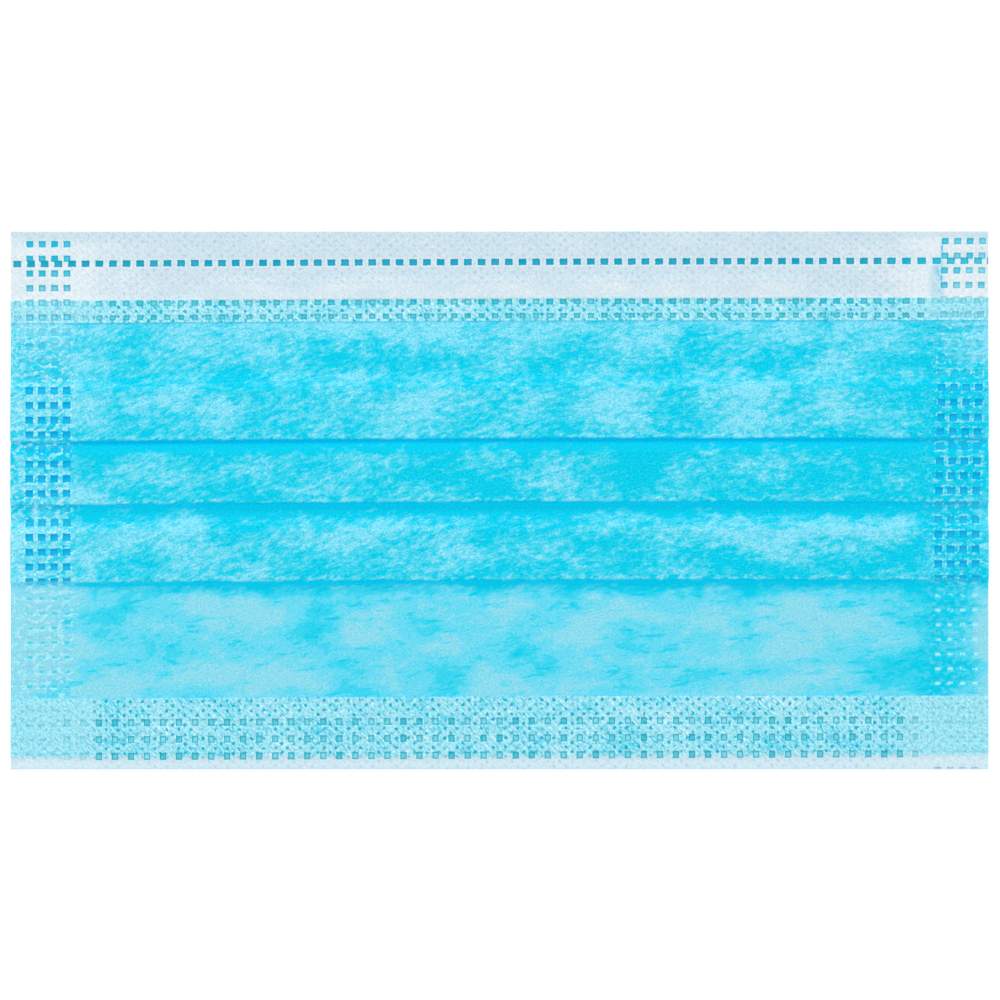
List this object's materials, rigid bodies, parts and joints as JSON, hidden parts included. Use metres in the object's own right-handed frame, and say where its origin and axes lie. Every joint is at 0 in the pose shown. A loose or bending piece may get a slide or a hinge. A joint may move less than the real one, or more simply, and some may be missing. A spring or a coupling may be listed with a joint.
{
  "type": "pleated medical face mask",
  "caption": "Flat pleated medical face mask with a blue outer ply, a white inner ply turned over the front at both hems and a nose wire, without ear loops.",
  "frame": {"origin": "middle of the mask's outline, on the surface that its back lies on", "axes": "+X across the mask to the right as the front is seen, +Y towards the nose edge, +Z out of the front"},
  "size_m": [0.175, 0.0964, 0.005],
  "materials": {
    "outer_blue": "matt spun-bonded non-woven, mottled cyan",
    "inner_white": "matt spun-bonded non-woven, thin enough for the blue to show through",
    "wire_coating": "smooth white plastic coating"
  },
  "bodies": {
    "root": {"outer_layer": "outer_blue", "inner_layer": "inner_white", "nose_wire": "wire_coating"}
  },
  "joints": []
}
